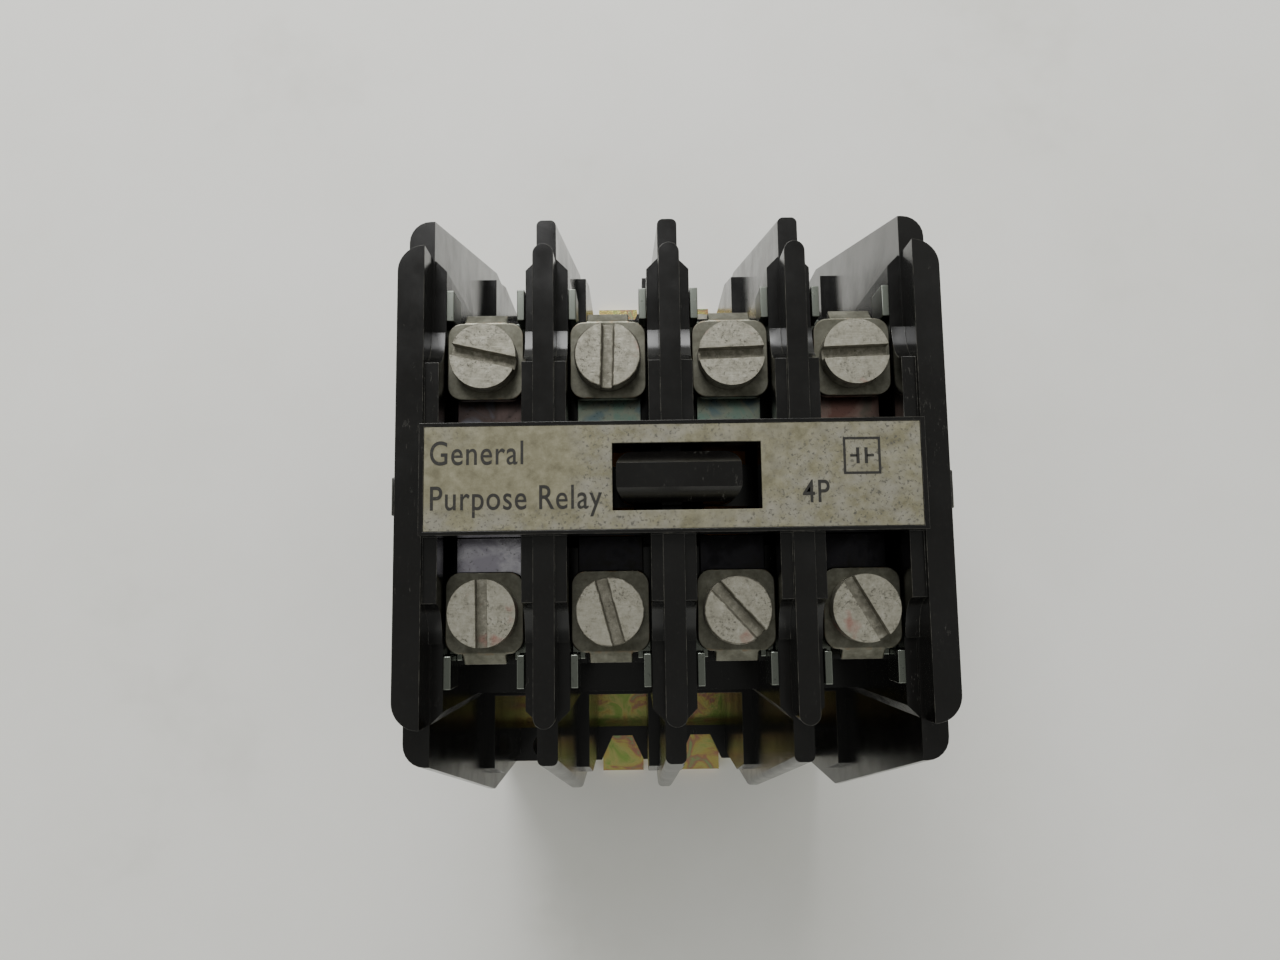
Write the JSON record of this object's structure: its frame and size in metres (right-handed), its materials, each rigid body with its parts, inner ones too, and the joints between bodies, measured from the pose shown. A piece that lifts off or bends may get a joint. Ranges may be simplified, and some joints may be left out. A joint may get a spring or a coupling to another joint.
{
  "type": "industrial control relay",
  "caption": "Control relay with moulded housing, magnet and coil, sliding contact carrier, screw terminals between tall fins, and a labelled front with an actuator button.",
  "frame": {"origin": "centre of the mounting face, under the steel plate", "axes": "+Z out of the front label, +Y towards the line terminals and the coil terminals, +X towards pole 4"},
  "size_m": [0.0554, 0.08, 0.0802],
  "materials": {
    "black_phenolic": "moulded, glossy, worn edges",
    "dichromate_steel": "yellow zinc dichromate",
    "label_foil": "aged printed foil",
    "zinc_steel": "dull zinc plate",
    "terminal_strap": "plated, heat tinted",
    "lamination_steel": "oiled laminations",
    "rubber": "matt",
    "copper": "bare copper",
    "enamelled_wire": "enamelled",
    "coil_tape": "polyester tape",
    "cream_nylon": "moulded",
    "spring_steel": "bright drawn wire",
    "silver": "silver alloy"
  },
  "bodies": {
    "housing": {"mounting_plate": "dichromate_steel", "base_housing": "black_phenolic", "contact_block": "black_phenolic", "front_cover": "black_phenolic", "label_plate": "label_foil", "side_clips": "black_phenolic", "deck_screws": "zinc_steel", "base_screws": "zinc_steel", "magnet_core": "lamination_steel", "core_cushion": "rubber", "shading_ring_left": "copper", "shading_ring_right": "copper", "coil_bobbin": "cream_nylon", "coil_winding": "enamelled_wire", "coil_wrap": "coil_tape", "return_spring_upper": "spring_steel", "return_spring_lower": "spring_steel", "fixed_contact_tips": "silver", "line_strap_1": "terminal_strap", "line_strap_2": "terminal_strap", "line_strap_3": "terminal_strap", "line_strap_4": "terminal_strap", "load_strap_1": "terminal_strap", "load_strap_2": "terminal_strap", "load_strap_3": "terminal_strap", "load_strap_4": "terminal_strap", "coil_strap_left": "terminal_strap", "coil_strap_right": "terminal_strap"},
    "crossbar": {"crossbar": "black_phenolic", "armature": "lamination_steel", "armature_pin": "lamination_steel", "contact_spring_1": "spring_steel", "contact_spring_2": "spring_steel", "contact_spring_3": "spring_steel", "contact_spring_4": "spring_steel"},
    "bridge_1": {"contact_bridge_1": "copper"},
    "bridge_2": {"contact_bridge_2": "copper"},
    "bridge_3": {"contact_bridge_3": "copper"},
    "bridge_4": {"contact_bridge_4": "copper"},
    "line_clamp_1": {"line_clamp_1": "zinc_steel"},
    "line_screw_1": {"line_screw_1": "zinc_steel"},
    "line_clamp_2": {"line_clamp_2": "zinc_steel"},
    "line_screw_2": {"line_screw_2": "zinc_steel"},
    "line_clamp_3": {"line_clamp_3": "zinc_steel"},
    "line_screw_3": {"line_screw_3": "zinc_steel"},
    "line_clamp_4": {"line_clamp_4": "zinc_steel"},
    "line_screw_4": {"line_screw_4": "zinc_steel"},
    "load_clamp_1": {"load_clamp_1": "zinc_steel"},
    "load_screw_1": {"load_screw_1": "zinc_steel"},
    "load_clamp_2": {"load_clamp_2": "zinc_steel"},
    "load_screw_2": {"load_screw_2": "zinc_steel"},
    "load_clamp_3": {"load_clamp_3": "zinc_steel"},
    "load_screw_3": {"load_screw_3": "zinc_steel"},
    "load_clamp_4": {"load_clamp_4": "zinc_steel"},
    "load_screw_4": {"load_screw_4": "zinc_steel"},
    "coil_clamp_left": {"coil_clamp_left": "zinc_steel"},
    "coil_screw_left": {"coil_screw_left": "zinc_steel"},
    "coil_clamp_right": {"coil_clamp_right": "zinc_steel"},
    "coil_screw_right": {"coil_screw_right": "zinc_steel"}
  },
  "joints": [
    {"name": "crossbar_slide", "type": "slide", "parent": "housing", "child": "crossbar", "axis": [0, 0, -1], "range_m": [0, 0.004], "stiffness_N_per_m": 400, "springref_m": -0.004, "deforming": ["return_spring_upper", "return_spring_lower"]},
    {"name": "bridge_1_slide", "type": "slide", "parent": "crossbar", "child": "bridge_1", "axis": [0, 0, 1], "range_m": [0, 0.001], "deforming": ["contact_spring_1"]},
    {"name": "bridge_2_slide", "type": "slide", "parent": "crossbar", "child": "bridge_2", "axis": [0, 0, 1], "range_m": [0, 0.001], "deforming": ["contact_spring_2"]},
    {"name": "bridge_3_slide", "type": "slide", "parent": "crossbar", "child": "bridge_3", "axis": [0, 0, 1], "range_m": [0, 0.001], "deforming": ["contact_spring_3"]},
    {"name": "bridge_4_slide", "type": "slide", "parent": "crossbar", "child": "bridge_4", "axis": [0, 0, 1], "range_m": [0, 0.001], "deforming": ["contact_spring_4"]},
    {"name": "line_clamp_1_slide", "type": "slide", "parent": "housing", "child": "line_clamp_1", "axis": [0, 0, -1], "range_m": [0, 0.0018]},
    {"name": "line_screw_1_turn", "type": "hinge", "parent": "line_clamp_1", "child": "line_screw_1", "pos_m": [-0.01905, 0.013, 0.0737], "axis": [0, 0, -1], "range_deg": [0, 816.2]},
    {"name": "line_clamp_2_slide", "type": "slide", "parent": "housing", "child": "line_clamp_2", "axis": [0, 0, -1], "range_m": [0, 0.0018]},
    {"name": "line_screw_2_turn", "type": "hinge", "parent": "line_clamp_2", "child": "line_screw_2", "pos_m": [-0.00635, 0.013, 0.0737], "axis": [0, 0, -1], "range_deg": [0, 816.2]},
    {"name": "line_clamp_3_slide", "type": "slide", "parent": "housing", "child": "line_clamp_3", "axis": [0, 0, -1], "range_m": [0, 0.0018]},
    {"name": "line_screw_3_turn", "type": "hinge", "parent": "line_clamp_3", "child": "line_screw_3", "pos_m": [0.00635, 0.013, 0.0737], "axis": [0, 0, -1], "range_deg": [0, 816.2]},
    {"name": "line_clamp_4_slide", "type": "slide", "parent": "housing", "child": "line_clamp_4", "axis": [0, 0, -1], "range_m": [0, 0.0018]},
    {"name": "line_screw_4_turn", "type": "hinge", "parent": "line_clamp_4", "child": "line_screw_4", "pos_m": [0.01905, 0.013, 0.0737], "axis": [0, 0, -1], "range_deg": [0, 816.2]},
    {"name": "load_clamp_1_slide", "type": "slide", "parent": "housing", "child": "load_clamp_1", "axis": [0, 0, -1], "range_m": [0, 0.0018]},
    {"name": "load_screw_1_turn", "type": "hinge", "parent": "load_clamp_1", "child": "load_screw_1", "pos_m": [-0.01905, -0.013, 0.0737], "axis": [0, 0, -1], "range_deg": [0, 816.2]},
    {"name": "load_clamp_2_slide", "type": "slide", "parent": "housing", "child": "load_clamp_2", "axis": [0, 0, -1], "range_m": [0, 0.0018]},
    {"name": "load_screw_2_turn", "type": "hinge", "parent": "load_clamp_2", "child": "load_screw_2", "pos_m": [-0.00635, -0.013, 0.0737], "axis": [0, 0, -1], "range_deg": [0, 816.2]},
    {"name": "load_clamp_3_slide", "type": "slide", "parent": "housing", "child": "load_clamp_3", "axis": [0, 0, -1], "range_m": [0, 0.0018]},
    {"name": "load_screw_3_turn", "type": "hinge", "parent": "load_clamp_3", "child": "load_screw_3", "pos_m": [0.00635, -0.013, 0.0737], "axis": [0, 0, -1], "range_deg": [0, 816.2]},
    {"name": "load_clamp_4_slide", "type": "slide", "parent": "housing", "child": "load_clamp_4", "axis": [0, 0, -1], "range_m": [0, 0.0018]},
    {"name": "load_screw_4_turn", "type": "hinge", "parent": "load_clamp_4", "child": "load_screw_4", "pos_m": [0.01905, -0.013, 0.0737], "axis": [0, 0, -1], "range_deg": [0, 816.2]},
    {"name": "coil_clamp_left_slide", "type": "slide", "parent": "housing", "child": "coil_clamp_left", "axis": [0, 0, -1], "range_m": [0, 0.0013]},
    {"name": "coil_screw_left_turn", "type": "hinge", "parent": "coil_clamp_left", "child": "coil_screw_left", "pos_m": [-0.00635, 0.0272, 0.0309], "axis": [0, 0, -1], "range_deg": [0, 737.1]},
    {"name": "coil_clamp_right_slide", "type": "slide", "parent": "housing", "child": "coil_clamp_right", "axis": [0, 0, -1], "range_m": [0, 0.0013]},
    {"name": "coil_screw_right_turn", "type": "hinge", "parent": "coil_clamp_right", "child": "coil_screw_right", "pos_m": [0.00635, 0.0272, 0.0309], "axis": [0, 0, -1], "range_deg": [0, 737.1]}
  ],
  "couplings": [
    {"joint": "bridge_1_slide", "follows": "crossbar_slide", "ratio": 0.25},
    {"joint": "bridge_2_slide", "follows": "crossbar_slide", "ratio": 0.25},
    {"joint": "bridge_3_slide", "follows": "crossbar_slide", "ratio": 0.25},
    {"joint": "bridge_4_slide", "follows": "crossbar_slide", "ratio": 0.25},
    {"joint": "line_screw_1_turn", "follows": "line_clamp_1_slide", "rad_per_m": 7913.3},
    {"joint": "line_screw_2_turn", "follows": "line_clamp_2_slide", "rad_per_m": 7913.3},
    {"joint": "line_screw_3_turn", "follows": "line_clamp_3_slide", "rad_per_m": 7913.3},
    {"joint": "line_screw_4_turn", "follows": "line_clamp_4_slide", "rad_per_m": 7913.3},
    {"joint": "load_screw_1_turn", "follows": "load_clamp_1_slide", "rad_per_m": 7913.3},
    {"joint": "load_screw_2_turn", "follows": "load_clamp_2_slide", "rad_per_m": 7913.3},
    {"joint": "load_screw_3_turn", "follows": "load_clamp_3_slide", "rad_per_m": 7913.3},
    {"joint": "load_screw_4_turn", "follows": "load_clamp_4_slide", "rad_per_m": 7913.3},
    {"joint": "coil_screw_left_turn", "follows": "coil_clamp_left_slide", "rad_per_m": 9894.8},
    {"joint": "coil_screw_right_turn", "follows": "coil_clamp_right_slide", "rad_per_m": 9894.8}
  ]
}
